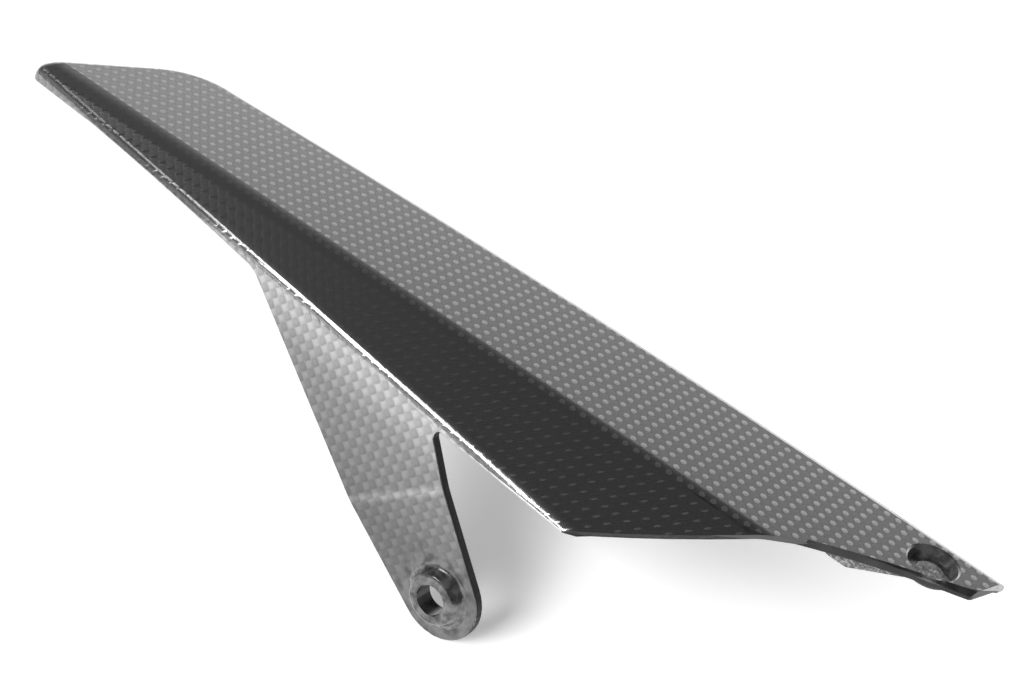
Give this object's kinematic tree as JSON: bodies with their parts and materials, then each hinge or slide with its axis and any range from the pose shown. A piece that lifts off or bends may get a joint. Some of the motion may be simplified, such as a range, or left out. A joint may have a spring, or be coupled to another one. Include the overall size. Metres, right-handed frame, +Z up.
{
  "type": "motorcycle chain guard",
  "caption": "One-piece moulded carbon-weave chain guard: a long folded cover with a bolt tab, a raised boss and a sunk bolt seat near its pointed end.",
  "frame": {"origin": "centre of the tab's bolt hole, on the outer face of its boss", "axes": "+X along the guard to its pointed end, -Y outwards (the side seen when fitted), +Z up, square to the top panel"},
  "size_m": [0.263, 0.0596, 0.0609],
  "materials": {
    "woven_laminate": "gloss clear coat over a dark plain-weave carbon cloth; the inner face is semi-matt"
  },
  "bodies": {
    "root": {"chain_guard": "woven_laminate"}
  },
  "joints": []
}
